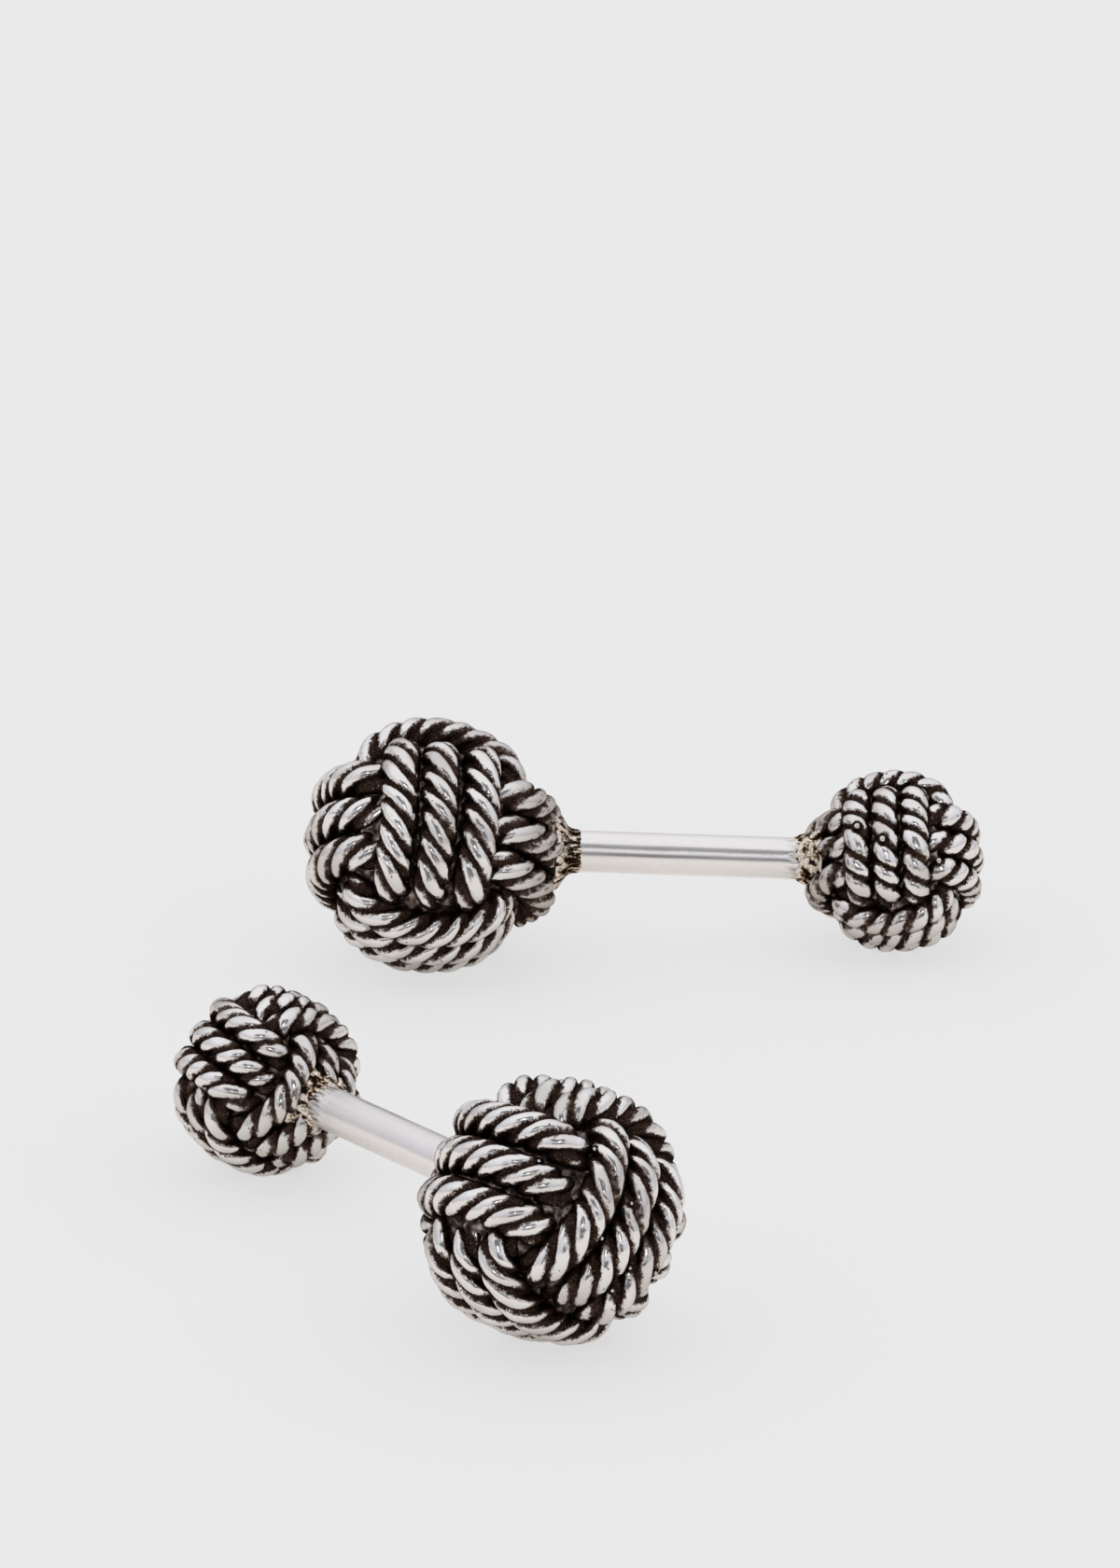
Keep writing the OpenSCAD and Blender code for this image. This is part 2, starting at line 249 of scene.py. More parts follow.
def tarnished_silver():
    """Unpolished silver inside a knot: black-brown sulphide, rubbed pale on the lumps, with
    a grain of 0.4 mm."""
    material, t = new_material("tarnished_silver")
    place = add(t, "ShaderNodeTexCoord").outputs["Object"]
    grain = add(t, "ShaderNodeTexNoise", {"Vector": place, "Scale": 2400, "Detail": 5})
    tint = add(t, "ShaderNodeValToRGB", {"Fac": grain}, [
        (0.36, colour("#1A120F")), (0.48, colour("#453730")), (0.58, colour("#7C7069")),
        (0.7, colour("#BDB4AD"))])
    bump = add(t, "ShaderNodeBump", {"Strength": 0.8, "Distance": 0.00015, "Height": grain})
    skin = add(t, "ShaderNodeBsdfPrincipled", {
        "Base Color": tint, "Metallic": 0.9, "Roughness": 0.4, "Normal": bump})
    add(t, "ShaderNodeOutputMaterial", {"Surface": skin})
    return material


def rough_solder():
    """Silver solder left as it flowed: pale streaks that run down between the ropes, a grain
    of 0.14 mm, and a scorched brown rim where the flux burnt on the post."""
    material, t = new_material("rough_silver_solder")
    place = add(t, "ShaderNodeTexCoord").outputs["Object"]
    flow = add(t, "ShaderNodeAttribute", attribute_name="flow").outputs["Vector"]
    scorch = add(t, "ShaderNodeAttribute", attribute_name="scorch").outputs["Fac"]
    streaks = add(t, "ShaderNodeTexNoise", {"Vector": flow, "Scale": 9.0, "Detail": 2})
    fine = add(t, "ShaderNodeTexNoise", {"Vector": place, "Scale": 7000, "Detail": 3})
    both = add(t, "ShaderNodeMath", {0: fine, 1: 0.35, 2: streaks}, operation="MULTIPLY_ADD")
    burnt = add(t, "ShaderNodeMath", {0: scorch, 1: -0.09, 2: both}, operation="MULTIPLY_ADD")
    tint = add(t, "ShaderNodeValToRGB", {"Fac": burnt}, [
        (0.56, colour("#1F1510")), (0.61, colour("#5E4732")), (0.655, colour("#B8A48C")),
        (0.72, colour("#F0E7DB"))])
    bump = add(t, "ShaderNodeBump", {"Strength": 1.0, "Distance": 0.00015, "Height": both})
    skin = add(t, "ShaderNodeBsdfPrincipled", {
        "Base Color": tint, "Specular Tint": tint, "Metallic": 0.95, "Roughness": 0.25,
        "Normal": bump})
    add(t, "ShaderNodeOutputMaterial", {"Surface": skin})
    return material


def polished_silver():
    """Drawn sterling silver wire, polished by hand: nearly a mirror, with faint streaks along
    the post and a sheen that scratches round it blur along it. At the small end it is
    scratched deeper, and the scratches hold tarnish."""
    material, t = new_material("polished_sterling_silver")
    flow = add(t, "ShaderNodeAttribute", attribute_name="flow").outputs["Vector"]
    scratched = add(t, "ShaderNodeAttribute", attribute_name="scratched").outputs["Fac"]
    streaks = add(t, "ShaderNodeTexNoise", {"Vector": flow, "Scale": 1.0, "Detail": 5})
    rough = add(t, "ShaderNodeMapRange", {
        "Value": streaks, "From Min": 0.3, "From Max": 0.7, "To Min": 0.22, "To Max": 0.32})
    scratches = add(t, "ShaderNodeTexNoise", {"Vector": flow, "Scale": 4.0, "Detail": 2})
    tarnish = add(t, "ShaderNodeMapRange", {
        "Value": scratches, "From Min": 0.47, "From Max": 0.62})
    tarnish = add(t, "ShaderNodeMath", {0: tarnish, 1: scratched}, operation="MULTIPLY")
    tint = add(t, "ShaderNodeValToRGB", {"Fac": tarnish}, [
        (0.0, colour("#F3F0EE")), (1.0, colour("#5C504A"))])
    relief = add(t, "ShaderNodeMath", {0: scratches, 1: scratched}, operation="MULTIPLY")
    relief = add(t, "ShaderNodeMath", {0: relief, 1: 18.0, 2: streaks},
                 operation="MULTIPLY_ADD")
    bump = add(t, "ShaderNodeBump", {"Strength": 0.4, "Distance": 0.000015, "Height": relief})
    axis = add(t, "ShaderNodeAttribute", attribute_name="axis").outputs["Vector"]
    skin = add(t, "ShaderNodeBsdfPrincipled", {
        "Base Color": tint, "Metallic": 1.0, "Roughness": rough, "Anisotropic": 0.8,
        "Tangent": axis, "Normal": bump})
    add(t, "ShaderNodeOutputMaterial", {"Surface": skin})
    return material


LAID_SILVER = laid_silver()
TARNISHED_SILVER = tarnished_silver()
ROUGH_SOLDER = rough_solder()
POLISHED_SILVER = polished_silver()


# Path of a wrap

def mix(a, b, share):
    return a + (b - a) * share


def ramp(t):
    """Smooth climb from 0 to 1, level at both ends."""
    c = np.clip(t, 0, 1)
    return c * c * c * (c * (6 * c - 15) + 10)


def swell(a, climb, lean):
    """Rise from 0 where a turn passes under to 1 where it lies on top."""
    low, high = np.tanh(climb * (lean - 1)), np.tanh(climb * (lean + 1))
    return (np.tanh(climb * (np.cos(2 * a) + lean)) - low) / (high - low)


def wrap_path():
    """Centre line of a wrap round X, for a reach of 1."""
    u = np.linspace(0, TURNS, TURNS * PER_TURN + 1)
    a = 2 * np.pi * u - np.pi / 2
    lane = (ramp((u - 1 + STEP_TURN) / (2 * STEP_TURN))
            + ramp((u - 2 + STEP_TURN) / (2 * STEP_TURN)) - 1)
    tuck = ramp((TUCK_TURN - u) / TUCK_TURN) + ramp((u - TURNS + TUCK_TURN) / TUCK_TURN)
    mid = mix(MID_UNDER_SHARE, 1, swell(a, MID_CLIMB, MID_LEAN))
    s = swell(a, SIDE_CLIMB, SIDE_LEAN)
    side = mix(SIDE_UNDER_SHARE, SIDE_OVER_SHARE, s)
    r = mix(mid, side, lane ** 2) - TUCK_IN_SHARE * tuck
    x = (lane * mix(UNDER_PITCH_SHARE, OVER_PITCH_SHARE, s)
         * (1 + SPREAD_SHARE * np.sin(np.pi * lane) ** 2)
         + np.sign(lane) * TUCK_OUT_SHARE * tuck)
    return np.stack([x, r * np.cos(a), r * np.sin(a)], axis=1)


def next_wrap(points):
    """The next wrap is the one before turned 120 degrees about a corner of the knot."""
    return points[:, [2, 0, 1]]


FIRST_PATH = wrap_path()
PATHS = (FIRST_PATH, next_wrap(FIRST_PATH), next_wrap(next_wrap(FIRST_PATH)))


# Places of the cufflinks and their knots

def middle(node):
    low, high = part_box(node)
    return (low + high) / 2


def knot_distance(side):
    """Millimetres between the centres of a cufflink's knots."""
    return (middle(side + "_small_core") - middle(side + "_large_core")).length / MM


def cufflink_place(side):
    """The cufflink's own frame, in millimetres: post along X, large knot at the origin."""
    large, small = middle(side + "_large_core"), middle(side + "_small_core")
    along = (small - large).normalized()
    turn = Matrix.Rotation(math.atan2(along.y, along.x), 4, "Z")
    tilt = Matrix.Rotation(math.asin(-along.z), 4, "Y")
    roll = Matrix.Rotation(math.radians(ROLL[side]), 4, "X")
    return Matrix.Translation(large) @ turn @ tilt @ roll @ Matrix.Scale(MM, 4)


def post_axis(side):
    """Direction of the post, from the large knot to the small one."""
    return np.array(cufflink_place(side).to_3x3().col[0].normalized())


def knot_place(side, size):
    """The knot's own frame, in millimetres, with its centre at the origin."""
    place = cufflink_place(side)
    if size == "small":
        place = place @ Matrix.Translation((knot_distance(side), 0, 0))
    knot = KNOTS[f"{side}_{size}"]
    return (place @ Matrix.Rotation(math.radians(knot["turn"]), 4, "Z")
            @ Matrix.Rotation(math.radians(knot["lean"]), 4, "Y"))


def placed(points, place):
    """Points moved by a place, such as from a knot's millimetres to metres."""
    turned = np.array(place)
    return points @ turned[:3, :3].T + turned[:3, 3]


# Meshes

def object_of(name, mesh, material=None):
    piece = bpy.data.objects.new(name, mesh)
    bpy.context.scene.collection.objects.link(piece)
    if material:
        mesh.materials.append(material)
    return piece


def smooth_mesh(name, form):
    """A smooth-shaded mesh of a bmesh, which is freed."""
    mesh = bpy.data.meshes.new(name)
    form.to_mesh(mesh)
    form.free()
    mesh.shade_smooth()
    return mesh


def points_of(mesh):
    points = np.empty(len(mesh.vertices) * 3)
    mesh.vertices.foreach_get("co", points)
    return points.reshape(-1, 3)


def store(mesh, name, values):
    """Stores a number or a vector for each point of a mesh."""
    values = np.array(values, dtype=float)
    kind, field = ("FLOAT_VECTOR", "vector") if values.ndim == 2 else ("FLOAT", "value")
    mesh.attributes.new(name, kind, "POINT").data.foreach_set(field, values.ravel())


# Laid rope

def laid_rope_tree():
    """Rope of twisted strands along a path: a tube whose section has one lobe a strand."""
    tree = bpy.data.node_groups.new("laid_rope", "GeometryNodeTree")
    face = tree.interface
    face.new_socket("Path", in_out="INPUT", socket_type="NodeSocketGeometry")
    for name, kind, value in (
            ("Rope Diameter", "NodeSocketFloat", 0.002), ("Lay Length", "NodeSocketFloat", 0.004),
            ("Strands", "NodeSocketFloat", 3.0), ("Strand Width", "NodeSocketFloat", 0.88),
            ("Groove Depth", "NodeSocketFloat", 0.34), ("Polish Width", "NodeSocketFloat", 0.9),
            ("Leaf Point", "NodeSocketFloat", 0.6), ("Hammering", "NodeSocketFloat", 0.00003),
            ("Unevenness", "NodeSocketFloat", 0.2), ("Seed", "NodeSocketFloat", 0.0),
            ("Sides", "NodeSocketInt", ROPE_SIDES)):
        face.new_socket(name, in_out="INPUT", socket_type=kind).default_value = value
    face.new_socket("Material", in_out="INPUT", socket_type="NodeSocketMaterial")
    face.new_socket("Rope", in_out="OUTPUT", socket_type="NodeSocketGeometry")
    given = add(tree, "NodeGroupInput").outputs
    # Tube: each point keeps its centre, its way along the path and its share around
    radius = add(tree, "ShaderNodeMath", {0: given["Rope Diameter"], 1: 0.5},
                 operation="MULTIPLY")
    line = add(tree, "GeometryNodeMeshToCurve", {"Mesh": given["Path"]})
    outward = add(tree, "GeometryNodeInputNamedAttribute", {"Name": "outward"},
                  data_type="FLOAT_VECTOR")
    line = add(tree, "GeometryNodeSetCurveNormal", {"Curve": line, "Normal": outward},
               mode="FREE")
    spot = add(tree, "GeometryNodeInputPosition")
    line = add(tree, "GeometryNodeStoreNamedAttribute",
               {"Geometry": line, "Name": "centre", "Value": spot}, data_type="FLOAT_VECTOR")
    length = add(tree, "GeometryNodeSplineParameter").outputs["Length"]
    line = add(tree, "GeometryNodeStoreNamedAttribute",
               {"Geometry": line, "Name": "along", "Value": length}, data_type="FLOAT")
    ring = add(tree, "GeometryNodeCurvePrimitiveCircle",
               {"Resolution": given["Sides"], "Radius": radius})
    share = add(tree, "GeometryNodeSplineParameter").outputs["Factor"]
    ring = add(tree, "GeometryNodeStoreNamedAttribute",
               {"Geometry": ring, "Name": "around", "Value": share}, data_type="FLOAT")
    tube = add(tree, "GeometryNodeCurveToMesh",
               {"Curve": line, "Profile Curve": ring, "Fill Caps": True})
    centre = add(tree, "GeometryNodeInputNamedAttribute", {"Name": "centre"},
                 data_type="FLOAT_VECTOR")
    along = add(tree, "GeometryNodeInputNamedAttribute", {"Name": "along"}, data_type="FLOAT")
    around = add(tree, "GeometryNodeInputNamedAttribute", {"Name": "around"}, data_type="FLOAT")
    # Unevenness: the twist runs a little ahead and behind along the rope, about every 3 mm
    drift = add(tree, "ShaderNodeMath", {0: along, 1: 350.0, 2: given["Seed"]},
                operation="MULTIPLY_ADD")
    drift = add(tree, "ShaderNodeTexNoise", {"W": drift, "Scale": 1.0, "Detail": 1.0},
                noise_dimensions="1D")
    drift = add(tree, "ShaderNodeMath", {0: drift, 1: given["Unevenness"], 2: given["Seed"]},
                operation="MULTIPLY_ADD")
    twist = add(tree, "ShaderNodeMath", {0: along, 1: given["Lay Length"]}, operation="DIVIDE")
    twist = add(tree, "ShaderNodeMath", {0: around, 1: twist}, operation="ADD")
    strand = add(tree, "ShaderNodeMath", {0: twist, 1: given["Strands"], 2: drift},
                 operation="MULTIPLY_ADD")
    # Across a strand: 0 on its crest and 1 at its edge, in the groove
    across = add(tree, "ShaderNodeMath", {0: strand}, operation="FRACT")
    across = add(tree, "ShaderNodeMath", {0: across, 1: 2.0, 2: -1.0}, operation="MULTIPLY_ADD")
    across = add(tree, "ShaderNodeMath", {0: across, 1: given["Strand Width"]},
                 operation="DIVIDE")
    across = add(tree, "ShaderNodeMath", {0: across}, operation="ABSOLUTE")
    flat = add(tree, "ShaderNodeMath", {0: across, 1: 2.2}, operation="POWER")
    under = add(tree, "ShaderNodeMath", {0: 1.0, 1: flat}, operation="SUBTRACT", use_clamp=True)
    crest = add(tree, "ShaderNodeMath", {0: under}, operation="SQRT")
    low = add(tree, "ShaderNodeMath", {0: crest, 1: 1.0}, operation="SUBTRACT")
    shrink = add(tree, "ShaderNodeMath", {0: low, 1: given["Groove Depth"]},
                 operation="MULTIPLY")
    spoke = add(tree, "ShaderNodeVectorMath", {0: spot, 1: centre}, operation="SUBTRACT")
    shift = add(tree, "ShaderNodeVectorMath", {0: spoke, "Scale": shrink}, operation="SCALE")
    # Polish: a leaf on each strand, widest on the rope's crown and pointed at its sides
    ray = add(tree, "ShaderNodeVectorMath", {0: spoke}, operation="NORMALIZE")
    top = add(tree, "ShaderNodeVectorMath", {0: ray, 1: outward},
              operation="DOT_PRODUCT").outputs["Value"]
    leaf = add(tree, "ShaderNodeMath", {0: top, 1: 0.0}, operation="MAXIMUM")
    leaf = add(tree, "ShaderNodeMath", {0: leaf, 1: given["Leaf Point"]}, operation="POWER")
    leaf = add(tree, "ShaderNodeMath", {0: leaf, 1: 1.35, 2: -0.35}, operation="MULTIPLY_ADD")
    leaf = add(tree, "ShaderNodeMath", {0: leaf, 1: given["Polish Width"]}, operation="MULTIPLY")
    polish = add(tree, "ShaderNodeMath", {0: leaf, 1: across}, operation="SUBTRACT")
    # Hammering: the strands are a little dented, about 1 mm apart
    dents = add(tree, "ShaderNodeTexNoise", {"Vector": spot, "Scale": 1100.0, "Detail": 1.0})
    dents = add(tree, "ShaderNodeMath", {0: dents, 1: 0.5}, operation="SUBTRACT")
    dents = add(tree, "ShaderNodeMath", {0: dents, 1: given["Hammering"]},
                operation="MULTIPLY")
    dents = add(tree, "ShaderNodeMath", {0: dents, 1: radius}, operation="DIVIDE")
    dent = add(tree, "ShaderNodeVectorMath", {0: spoke, "Scale": dents}, operation="SCALE")
    shift = add(tree, "ShaderNodeVectorMath", {0: shift, 1: dent}, operation="ADD")
    rope = add(tree, "GeometryNodeStoreNamedAttribute",
               {"Geometry": tube, "Name": "polish", "Value": polish}, data_type="FLOAT")
    rope = add(tree, "GeometryNodeSetPosition", {"Geometry": rope, "Offset": shift})
    rope = add(tree, "GeometryNodeSetShadeSmooth", {"Geometry": rope})
    rope = add(tree, "GeometryNodeRealizeInstances", {"Geometry": rope})
    rope = add(tree, "GeometryNodeSetMaterial",
               {"Geometry": rope, "Material": given["Material"]})
    add(tree, "NodeGroupOutput", {"Rope": rope})
    return tree


ROPE_TREE = laid_rope_tree()


def grow(piece, tree, values):
    """Runs a tree on a piece and leaves it as a plain mesh without the modifier."""
    modifier = piece.modifiers.new(tree.name, "NODES")
    modifier.node_group = tree
    for item in tree.interface.items_tree:
        if item.item_type == "SOCKET" and item.in_out == "INPUT" and item.name in values:
            modifier[item.identifier] = values[item.name]
    depsgraph = bpy.context.evaluated_depsgraph_get()
    mesh = bpy.data.meshes.new_from_object(
        piece.evaluated_get(depsgraph), preserve_all_data_layers=True, depsgraph=depsgraph)
    piece.modifiers.remove(modifier)
    piece.data = mesh
    mesh.name = piece.name


def path_mesh(name, points, knot_centre):
    """A path as a mesh of edges, with the direction away from the knot at each point."""
    mesh = bpy.data.meshes.new(name)
    mesh.from_pydata(points.tolist(), [(i, i + 1) for i in range(len(points) - 1)], [])
    step = np.gradient(points, axis=0)
    step /= np.linalg.norm(step, axis=1)[:, None]
    away = points - knot_centre
    away -= (away * step).sum(1)[:, None] * step
    store(mesh, "outward", away / np.linalg.norm(away, axis=1)[:, None])
    return mesh


def hidden_share(points, paths, own, knot_centre, rope_radius, knot_radius, dark_line):
    """How far each point of a rope is out of the polisher's reach: 1 between ropes and deep
    in the knot, and 0 on top."""
    # Measured from every third point of the centre lines, out to four rope radii
    every, limit = 3, 4 * rope_radius
    lines = [path[::every] for path in paths]
    turn_of = np.arange(0, len(paths[own]), every) / PER_TURN
    hidden = np.zeros(len(points))
    for i, ring_centre in enumerate(paths[own]):
        ring = slice(i * ROPE_SIDES, (i + 1) * ROPE_SIDES)
        near = np.concatenate([
            line[np.abs(turn_of - i / PER_TURN) > APART] if k == own else line
            for k, line in enumerate(lines)])
        near = near[np.linalg.norm(near - ring_centre, axis=1) < limit]
        if len(near):
            square = ((points[ring][:, None, :] - near[None]) ** 2).sum(2)
            gap = np.sqrt(square.min(1)) - rope_radius
            hidden[ring] = 1 - np.clip(gap / (dark_line * rope_radius), 0, 1)
    # Deep in the knot: from 0.8 to 1.8 rope radii below its surface
    depth = knot_radius - np.linalg.norm(points - knot_centre, axis=1)
    return np.maximum(hidden, np.clip(depth / rope_radius - 0.8, 0, 1))


def hand_laid(points, sway, seed, post_way, rise):
    """The wander of a rope that was laid by hand, and its rise round the foot of the post."""
    # Bends about 3 mm apart; each wrap has its own stretch of the noise
    shift = Vector((9 * seed, 0, 0))
    wander = [noise.noise_vector(Vector(p) * 0.3 + shift) for p in points]
    aside = (points ** 2)[:, 1:].sum(1)
    height, width = rise
    lift = np.where(points[:, 0] * post_way > 0, height * np.exp(-aside / width ** 2), 0)
    return points + sway * np.array(wander) + np.outer(lift * post_way, (1, 0, 0))


def lay_ropes(side, size):
    """The three wraps of a knot, in full laid rope."""
    knot = KNOTS[f"{side}_{size}"]
    place = knot_place(side, size)
    rope_radius = ROPE_DIAMETER[size] / 2
    knot_radius = KNOT_DIAMETER[size] / 2
    reach = (knot_radius - rope_radius) / OUTER_SHARE
    post_way = {"large": 1, "small": -1}[size]
    lines = [placed(hand_laid(path * reach, SWAY * rope_radius, k, post_way, knot["rise"]),
                    place)
             for k, path in enumerate(PATHS)]
    knot_centre = np.array(place.translation)
    polish_width, leaf_point = knot["leaf"]
    for k, name in enumerate(WRAPS):
        node = f"{side}_{size}_{name}_wrap"
        piece = object_of(node + "_rope", path_mesh(node + "_rope", lines[k], knot_centre))
        grow(piece, ROPE_TREE, {
            "Rope Diameter": 2 * rope_radius * MM, "Lay Length": knot["lay"] * MM,
            "Strands": float(knot["strands"]), "Strand Width": STRAND_WIDTH,
            "Groove Depth": GROOVE_DEPTH[size], "Polish Width": polish_width,
            "Leaf Point": leaf_point, "Hammering": HAMMERING * rope_radius * MM,
            "Unevenness": UNEVENNESS, "Seed": knot["seed"] + 0.37 * k, "Sides": ROPE_SIDES,
            "Material": LAID_SILVER})
        points = points_of(piece.data)
        store(piece.data, "hidden", hidden_share(
            points, lines, k, knot_centre, rope_radius * MM, knot_radius * MM,
            knot["dark_line"]))
        # Way to the foot of the post: 1 at the knot's surface there, dull from 0.5 to 0.8
        to_foot = (points - knot_centre) @ post_axis(side) * post_way / (knot_radius * MM)
        store(piece.data, "dull", np.clip((to_foot - 0.5) / 0.3, 0, knot["foot_dull"]))
        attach(piece, side + "_cufflink")
        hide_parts(node)


def casting_beads(knot):
    """Small beads of silver that the casting left in the grooves of the ropes."""
    place = knot_place(*knot.split("_"))
    ropes = [bpy.data.objects[f"{knot}_{name}_wrap_rope"].data for name in WRAPS]
    # Grooves: all that the polish has missed by more than a hair
    missed = -0.05
    grooves = np.array([vertex.co for rope in ropes
                        for vertex, share in zip(rope.vertices, rope.attributes["polish"].data)
                        if share.value < missed])
    radius, spots = BEADS[knot]
    # Height of a bead's centre over its groove in its radii, its lumps as a share of its
    # radius, their cells a metre, and how fast its polish ends towards its foot
    lift, lumps, cells, polish_end = 0.9, 0.2, 9000, 3.0
    form = bmesh.new()
    polish, bead_centres = [], []
    for spot in spots:
        wanted = np.array(place @ Vector(spot))
        groove = Vector(grooves[np.linalg.norm(grooves - wanted, axis=1).argmin()])
        away = (groove - place.translation).normalized()
        bead_centres.append(groove + away * lift * radius * MM)
        ball = bmesh.ops.create_icosphere(form, subdivisions=3, radius=radius * MM)
        for vertex in ball["verts"]:
            polish.append(polish_end * away.dot(vertex.co.normalized()))
            vertex.co *= 1 + lumps * noise.noise(vertex.co * cells)
            vertex.co += bead_centres[-1]
    # The tarnish stays in a ring round each bead, and fades from 1.8 to 2.3 of its radii
    for rope in ropes:
        points, hidden = points_of(rope), np.empty(len(rope.vertices))
        rope.attributes["hidden"].data.foreach_get("value", hidden)
        for centre in bead_centres:
            far = np.linalg.norm(points - np.array(centre), axis=1) / (radius * MM)
            hidden = np.maximum(hidden, np.clip((2.3 - far) / 0.5, 0, 1))
        rope.attributes["hidden"].data.foreach_set("value", hidden)
    mesh = smooth_mesh(knot + "_casting_beads", form)
    store(mesh, "polish", polish)
    piece = object_of(mesh.name, mesh, LAID_SILVER)
    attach(piece, knot.split("_")[0] + "_cufflink")


# Lumpy metal inside the knots, solder and posts

def lathe(name, profile, sides, place, material, growth):
    """A closed turned shape round X, with a growth for each point and angle."""
    points, faces = [], []
    for x, r in profile:
        for i in range(sides):
            a = 2 * math.pi * i / sides
            grown = r + growth(x, r, a)
            points.append((x, grown * math.cos(a), grown * math.sin(a)))
    last = len(profile) - 1
    for j in range(last):
        for i in range(sides):
            n = (i + 1) % sides
            faces.append((j * sides + i, (j + 1) * sides + i, (j + 1) * sides + n, j * sides + n))
    points += [(profile[0][0], 0, 0), (profile[last][0], 0, 0)]
    for i in range(sides):
        n = (i + 1) % sides
        faces.append((len(points) - 2, i, n))
        faces.append((len(points) - 1, last * sides + n, last * sides + i))
    mesh = bpy.data.meshes.new(name)
    mesh.from_pydata(placed(np.array(points), place).tolist(), [], faces)
    form = bmesh.new()
    form.from_mesh(mesh)
    bmesh.ops.recalc_face_normals(form, faces=form.faces)
    form.to_mesh(mesh)
    form.free()
    mesh.shade_smooth()
    return object_of(name, mesh, material)


def knot_heart(side, size):
    """The metal that closes a knot between its ropes: a lumpy, tarnished bead."""
    place = knot_place(side, size)
    radius = (KNOT_DIAMETER[size] / 2 - HEART_DEPTH * ROPE_DIAMETER[size]) * MM
    # Lumps of 1.1 mm, as high as 0.35 rope radii
    height = 0.00035
    form = bmesh.new()
    bmesh.ops.create_icosphere(form, subdivisions=6, radius=radius)
    for vertex in form.verts:
        lump = noise.fractal(vertex.co * 900, 1.0, 2.0, 4)
        vertex.co += vertex.co.normalized() * lump * height * ROPE_DIAMETER[size] / 2
        vertex.co += place.translation
    mesh = smooth_mesh(f"{side}_{size}_heart", form)
    piece = object_of(mesh.name, mesh, TARNISHED_SILVER)
    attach(piece, side + "_cufflink")
    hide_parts(f"{side}_{size}_core")


def solder_crust(side, size):
    """The solder between post and knot: a rough collar that runs down between the ropes."""
    place = cufflink_place(side)
    if size == "small":
        place = (place @ Matrix.Translation((knot_distance(side), 0, 0))
                 @ Matrix.Rotation(math.pi, 4, "Z"))
    shape = CRUST[size]
    post = POST_DIAMETER / 2
    rows, sides = 40, 240
    along = np.linspace(shape[0][0], shape[-1][0], rows)
    height = np.interp(along, *zip(*shape))
    profile = [(CROWN[size] + x, post + h) for x, h in zip(along, height)]
    # The last row closes the collar a little inside the post
    profile.append((profile[-1][0], post - 0.1))
    streak_height, lump_height = 0.1, {"large": 0.12, "small": 0.24}[size]

    def lumps(x, r, a):
        """Streaks along the post and lumps of 0.6 mm, lower where the solder is thin, and
        never deeper than 0.06 mm in the post."""
        streak = noise.fractal(Vector((x, 4 * math.cos(a), 4 * math.sin(a))), 1.0, 2.0, 4)
        lump = noise.fractal(Vector((x, r * math.cos(a), r * math.sin(a))) * 1.6, 1.0, 2.0, 4)
        grown = (streak_height * streak + lump_height * lump) * min(1, 0.4 + r - post)
        return max(grown, post - 0.06 - r)

    piece = lathe(f"{side}_{size}_solder_crust", profile, sides, place, ROUGH_SOLDER, lumps)
    # Flow runs along the post, and is drawn wider on the small collar
    turn = np.linspace(0, 2 * np.pi, sides, endpoint=False)
    stretch = {"large": (0.25, 1.0, 1.0), "small": (0.3, 0.35, 0.35)}[size]
    flow = np.zeros((len(piece.data.vertices), 3))
    scorch = np.zeros(len(piece.data.vertices))
    for j, (x, r) in enumerate(profile):
        row = slice(j * sides, (j + 1) * sides)
        flow[row] = np.stack([np.full(sides, x), np.cos(turn), np.sin(turn)], axis=1) * stretch
        scorch[row] = np.interp(x - CROWN[size], *zip(*SCORCH[f"{side}_{size}"]))
    store(piece.data, "flow", flow)
    store(piece.data, "scorch", scorch)
    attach(piece, side + "_cufflink")
    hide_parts(f"{side}_{size}_solder")


def polished_post(side):
    """The post: a round bar with softened ends."""
    short = 0.02
    start, end = CROWN["large"] + short, CROWN["large"] + POST_LENGTH - short
    r, soft = POST_DIAMETER / 2, 0.22
    bend = [math.pi / 2 * i / 8 for i in range(9)]
    edge = [(soft * (1 - math.sin(b)), r - soft * (1 - math.cos(b))) for b in bend]
    profile = [(start + x, height) for x, height in reversed(edge)]
    profile += [(start + (end - start) * i / 60, r) for i in range(2, 59)]
    profile += [(end - x, height) for x, height in edge]

    def hand_finish(x, radius, a):
        """Unevenness of 0.012 mm, drawn out along the post."""
        return 0.012 * noise.noise(Vector((x * 0.35, math.cos(a) * 0.8, math.sin(a) * 0.8)))

    sides = 160
    place = cufflink_place(side)
    piece = lathe(side + "_polished_post", profile, sides, place, POLISHED_SILVER, hand_finish)
    points = placed(points_of(piece.data), place.inverted())
    store(piece.data, "axis", np.tile(post_axis(side), (len(points), 1)))
    # Streaks of 0.6 mm across, drawn out six times along the post
    store(piece.data, "flow", points * (0.25, 1.6, 1.6))
    fade = 0.9
    scratched = (points[:, 0] - end + SCRATCHED[side]) / fade
    store(piece.data, "scratched", np.clip(scratched, 0, 1))
    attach(piece, side + "_cufflink")
    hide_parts(side + "_post")


for side in ("rear", "front"):
    for size in ("large", "small"):
        lay_ropes(side, size)
        knot_heart(side, size)
        solder_crust(side, size)
    polished_post(side)
for knot in BEADS:
    casting_beads(knot)


# Table, light and camera

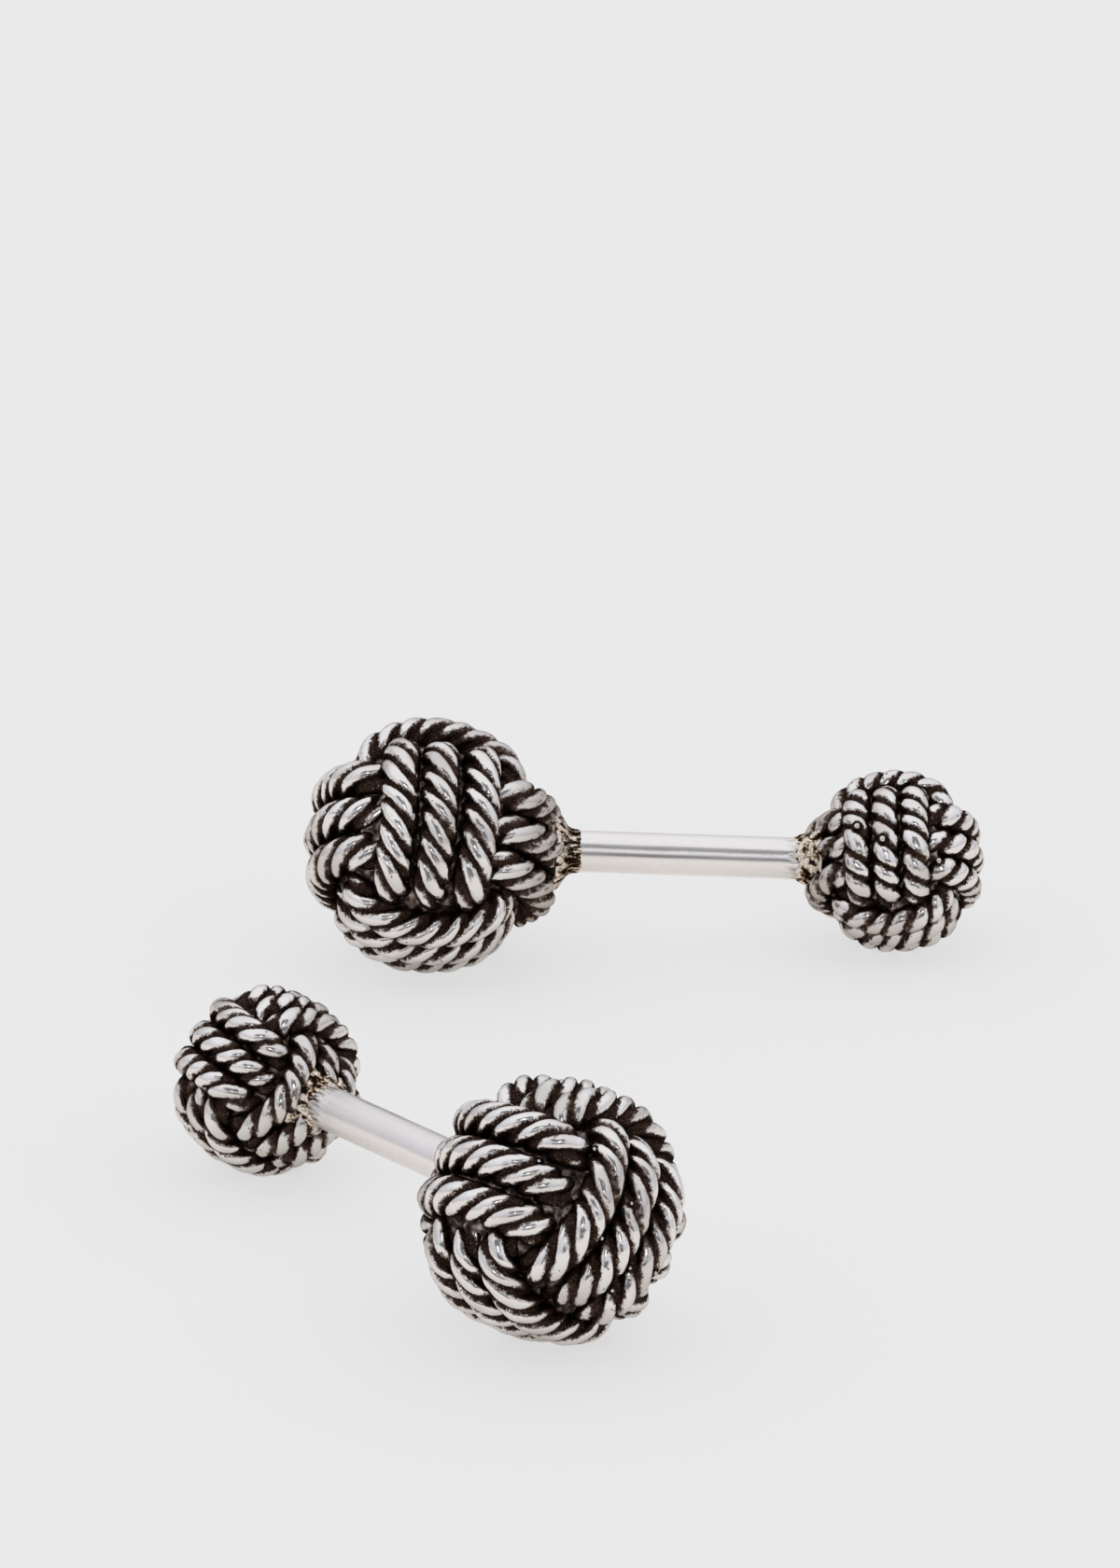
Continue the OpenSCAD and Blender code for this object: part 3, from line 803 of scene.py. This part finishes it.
def pale_table():
    """Matt cream board with a painted glow of its own, which lights the metal from below and
    brightens the board in the metal's reflections. Seen by the camera it is the photograph's even
    grey.
    """
    material, t = new_material("pale_board_with_painted_glow")
    ray = add(t, "ShaderNodeLightPath").outputs["Is Camera Ray"]
    board = add(t, "ShaderNodeBsdfDiffuse", {"Color": colour("#DAD7D3")})
    # Painted glow: the board gives off light of its own though it is no lamp
    glow = add(t, "ShaderNodeEmission", {"Color": colour("#EEEBE6"), "Strength": 0.36})
    board = add(t, "ShaderNodeAddShader", {0: board, 1: glow})
    # Most of the grey is its own glow, so the shadow on the rest stays faint
    grey = add(t, "ShaderNodeEmission", {"Color": colour("#E9E9E9"), "Strength": 0.797})
    shade = add(t, "ShaderNodeBsdfDiffuse", {"Color": colour("#818181")})
    seen = add(t, "ShaderNodeAddShader", {0: grey, 1: shade})
    both = add(t, "ShaderNodeMixShader", {"Fac": ray, 1: board, 2: seen})
    add(t, "ShaderNodeOutputMaterial", {"Surface": both})
    half = 3.0
    mesh = bpy.data.meshes.new("table")
    mesh.from_pydata([(-half, -half, 0), (half, -half, 0), (half, half, 0), (-half, half, 0)],
                     [], [(0, 1, 2, 3)])
    object_of("table", mesh, material)


def studio_light():
    """A white tent with a grey slit in front, dark at its foot, and a small lamp above the
    lens."""
    world = bpy.data.worlds.new("studio")
    bpy.context.scene.world = world
    world.use_nodes = True
    t = world.node_tree
    t.nodes.clear()
    way = add(t, "ShaderNodeTexCoord").outputs["Generated"]
    split = add(t, "ShaderNodeSeparateXYZ", {0: way}).outputs
    # Tent: brighter towards its top
    light = add(t, "ShaderNodeValToRGB", {"Fac": split["Z"]}, [
        (0.0, colour("#C8C8CC")), (0.2, colour("#D4D4D9")), (0.45, colour("#E4E4EA")),
        (0.75, colour("#F5F5F8"))])
    # Slit: in the tent's front, with soft edges, and palest around the height of the lens
    aside = add(t, "ShaderNodeMath", {0: split["X"]}, operation="ABSOLUTE")
    aside = add(t, "ShaderNodeMapRange", {
        "Value": aside, "From Min": 0.38, "From Max": 0.5, "To Min": 1.0, "To Max": 0.0})
    front = add(t, "ShaderNodeMapRange", {
        "Value": split["Y"], "From Min": -0.45, "From Max": -0.3, "To Min": 1.0, "To Max": 0.0})
    slit = add(t, "ShaderNodeMath", {0: aside, 1: front}, operation="MULTIPLY")
    dark, pale = colour("#E6E6E6"), colour("#404040")
    depth = add(t, "ShaderNodeValToRGB", {"Fac": split["Z"]}, [
        (0.29, dark), (0.33, pale), (0.48, pale), (0.54, dark), (0.84, dark),
        (0.93, colour("#000000"))])
    slit = add(t, "ShaderNodeMath", {0: slit, 1: depth}, operation="MULTIPLY")
    light = add(t, "ShaderNodeMix", {"Factor": slit, 6: light, 7: (0, 0, 0, 1)},
                data_type="RGBA").outputs[2]
    # Lamp: a disc of 5 degrees
    b = math.radians(CAMERA_ELEVATION + LAMP_ABOVE_LENS)
    lamp = add(t, "ShaderNodeVectorMath", {0: way, 1: (0.0, -math.cos(b), math.sin(b))},
               operation="DOT_PRODUCT").outputs["Value"]
    lamp = add(t, "ShaderNodeMapRange", {"Value": lamp, "From Min": 0.994, "From Max": 0.997})
    light = add(t, "ShaderNodeMix", {"Factor": lamp, 6: light, 7: (3.5, 3.5, 3.5, 1)},
                data_type="RGBA").outputs[2]
    ray = add(t, "ShaderNodeLightPath").outputs["Is Camera Ray"]
    shown = add(t, "ShaderNodeMix", {"Factor": ray, 6: light, 7: colour("#E9E9E9")},
                data_type="RGBA").outputs[2]
    back = add(t, "ShaderNodeBackground", {"Color": shown, "Strength": 1.0})
    add(t, "ShaderNodeOutputWorld", {"Surface": back})


def long_lens():
    camera = bpy.data.cameras.new("camera")
    camera.sensor_fit = "HORIZONTAL"
    camera.sensor_width = 36.0
    camera.lens = CAMERA_LENS
    camera.clip_start, camera.clip_end = 0.01, 50.0
    view = bpy.data.objects.new("camera", camera)
    bpy.context.scene.collection.objects.link(view)
    a = math.radians(CAMERA_ELEVATION)
    knot = middle("rear_large_core")
    x, y, z = CAMERA_TARGET
    target = Vector((knot.x + x * MM, knot.y + y * MM, z * MM))
    view.location = target - Vector((0, math.cos(a), -math.sin(a))) * CAMERA_DISTANCE * MM
    view.rotation_euler = (math.pi / 2 - a, 0, 0)
    bpy.context.scene.camera = view


pale_table()
studio_light()
long_lens()
bpy.context.scene.view_settings.view_transform = "Standard"

bpy.context.view_layer.update()
